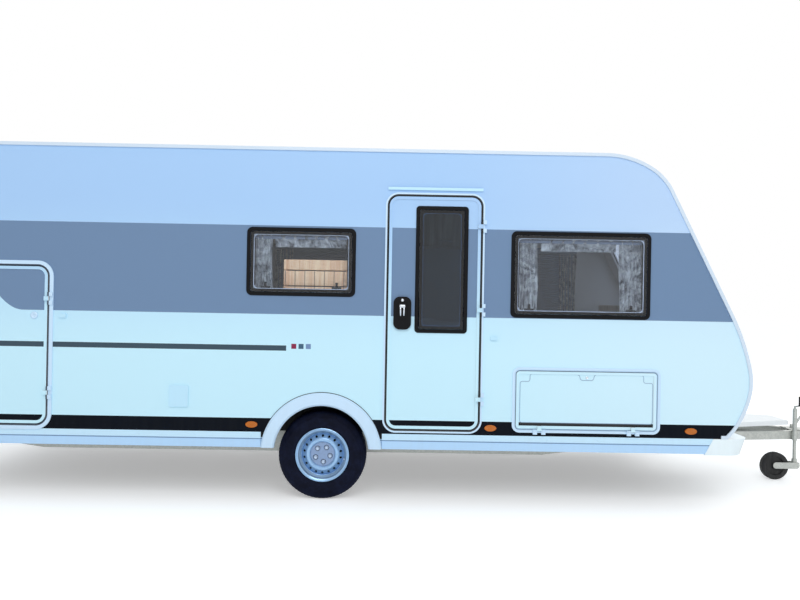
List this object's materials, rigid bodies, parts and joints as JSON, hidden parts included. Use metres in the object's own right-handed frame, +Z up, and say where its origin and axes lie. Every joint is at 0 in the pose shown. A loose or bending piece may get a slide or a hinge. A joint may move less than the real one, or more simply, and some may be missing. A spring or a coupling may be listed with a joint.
{
  "type": "travel caravan",
  "caption": "Touring caravan with raked nose, entrance door, side hatches, gas locker lid, corner steadies and drawbar, standing on its wheels and jockey wheel.",
  "frame": {"origin": "on the ground, under the middle of the overall length and width", "axes": "+X forward to the coupling, +Z up, -Y the entrance side"},
  "size_m": [7.466, 2.362, 2.6],
  "materials": {
    "shell": "glossy white",
    "floor": "sealed board",
    "trim_white": "glossy white",
    "trim_dark": "satin",
    "acrylic": "tinted",
    "galvanised": "galvanised",
    "cast": "painted",
    "rim": "silver paint",
    "tyre": "matt",
    "rubber": "matt",
    "lamp_red": "clear",
    "lamp_amber": "clear",
    "joinery": "laminate",
    "cushion": "woven",
    "gas": "grey enamel"
  },
  "bodies": {
    "caravan": {"arch_mouldings": "trim_white", "axle": "cast", "bed_base": "joinery", "bed_mattress": "cushion", "bunk_boards": "joinery", "bunk_mattresses": "cushion", "chassis_rails": "galvanised", "corner_caps": "trim_white", "coupling": "cast", "coupling_gaiter": "rubber", "cross_members": "galvanised", "dinette_cushions": "cushion", "dinette_joinery": "joinery", "door_frame": "trim_white", "drawbar_beams": "galvanised", "drawbar_cover": "trim_white", "edge_rails": "trim_white", "floor_panel": "floor", "front_wall": "shell", "gas_bottles": "gas", "grab_handles": "trim_white", "handbrake_lever": "galvanised", "hatch_frames": "trim_white", "jockey_sleeve": "galvanised", "kitchen_unit": "joinery", "lamp_carrier": "trim_white", "left_wall": "shell", "rear_wall": "shell", "right_wall": "shell", "roof_lockers": "joinery", "roof_panel": "shell", "roof_vents": "trim_white", "service_covers": "trim_white", "side_fittings": "trim_white", "side_markers": "lamp_amber", "side_skirts": "trim_white", "tail_lamps": "lamp_red", "washroom_walls": "joinery", "wheel_boxes": "trim_white", "window_panes": "acrylic", "window_surrounds": "trim_dark"},
    "entrance_door": {"entrance_door": "shell", "door_pane": "acrylic", "door_trim": "trim_dark"},
    "rear_hatch": {"rear_hatch": "shell"},
    "front_hatch": {"front_hatch": "shell"},
    "locker_lid": {"locker_lid": "shell"},
    "wheel_right": {"wheel_right_rim": "rim", "wheel_right_tyre": "tyre"},
    "wheel_left": {"wheel_left_rim": "rim", "wheel_left_tyre": "tyre"},
    "jockey_post": {"jockey_post": "galvanised"},
    "jockey_fork": {"jockey_fork": "galvanised"},
    "jockey_wheel": {"jockey_wheel": "rubber"},
    "steady_rear_right": {"steady_rear_right": "galvanised"},
    "steady_rear_left": {"steady_rear_left": "galvanised"},
    "steady_front_right": {"steady_front_right": "galvanised"},
    "steady_front_left": {"steady_front_left": "galvanised"}
  },
  "joints": [
    {"name": "door_hinge", "type": "hinge", "parent": "caravan", "child": "entrance_door", "pos_m": [0.389, -1.176, 1.373], "axis": [0, 0, 1], "range_deg": [0, 165]},
    {"name": "rear_hatch_hinge", "type": "hinge", "parent": "caravan", "child": "rear_hatch", "pos_m": [-2.697, -1.176, 1.097], "axis": [0, 0, 1], "range_deg": [0, 165]},
    {"name": "front_hatch_hinge", "type": "hinge", "parent": "caravan", "child": "front_hatch", "pos_m": [1.1585, -1.176, 0.547], "axis": [1, 0, 0], "range_deg": [0, 150]},
    {"name": "locker_lid_hinge", "type": "hinge", "parent": "caravan", "child": "locker_lid", "pos_m": [2.22528, 0, 1.40321], "axis": [0, -1, 0], "range_deg": [0, 80]},
    {"name": "wheel_right_spin", "type": "hinge", "parent": "caravan", "child": "wheel_right", "pos_m": [-0.739, -0.975, 0.322], "axis": [0, 1, 0], "continuous": true},
    {"name": "wheel_left_spin", "type": "hinge", "parent": "caravan", "child": "wheel_left", "pos_m": [-0.739, 0.975, 0.322], "axis": [0, 1, 0], "continuous": true},
    {"name": "jockey_lift", "type": "slide", "parent": "caravan", "child": "jockey_post", "axis": [0, 0, 1], "range_m": [-0.06, 0.1]},
    {"name": "jockey_swivel", "type": "hinge", "parent": "jockey_post", "child": "jockey_fork", "pos_m": [3.191, -0.16, 0.15], "axis": [0, 0, 1], "continuous": true},
    {"name": "jockey_wheel_spin", "type": "hinge", "parent": "jockey_fork", "child": "jockey_wheel", "pos_m": [3.019, -0.16, 0.115], "axis": [0, 1, 0], "continuous": true},
    {"name": "steady_rear_right_fold", "type": "hinge", "parent": "caravan", "child": "steady_rear_right", "pos_m": [-2.989, -0.59, 0.33], "axis": [0, -1, 0], "range_deg": [0, 45]},
    {"name": "steady_rear_left_fold", "type": "hinge", "parent": "caravan", "child": "steady_rear_left", "pos_m": [-2.989, 0.59, 0.33], "axis": [0, -1, 0], "range_deg": [0, 45]},
    {"name": "steady_front_right_fold", "type": "hinge", "parent": "caravan", "child": "steady_front_right", "pos_m": [0.821, -0.59, 0.33], "axis": [0, 1, 0], "range_deg": [0, 45]},
    {"name": "steady_front_left_fold", "type": "hinge", "parent": "caravan", "child": "steady_front_left", "pos_m": [0.821, 0.59, 0.33], "axis": [0, 1, 0], "range_deg": [0, 45]}
  ]
}
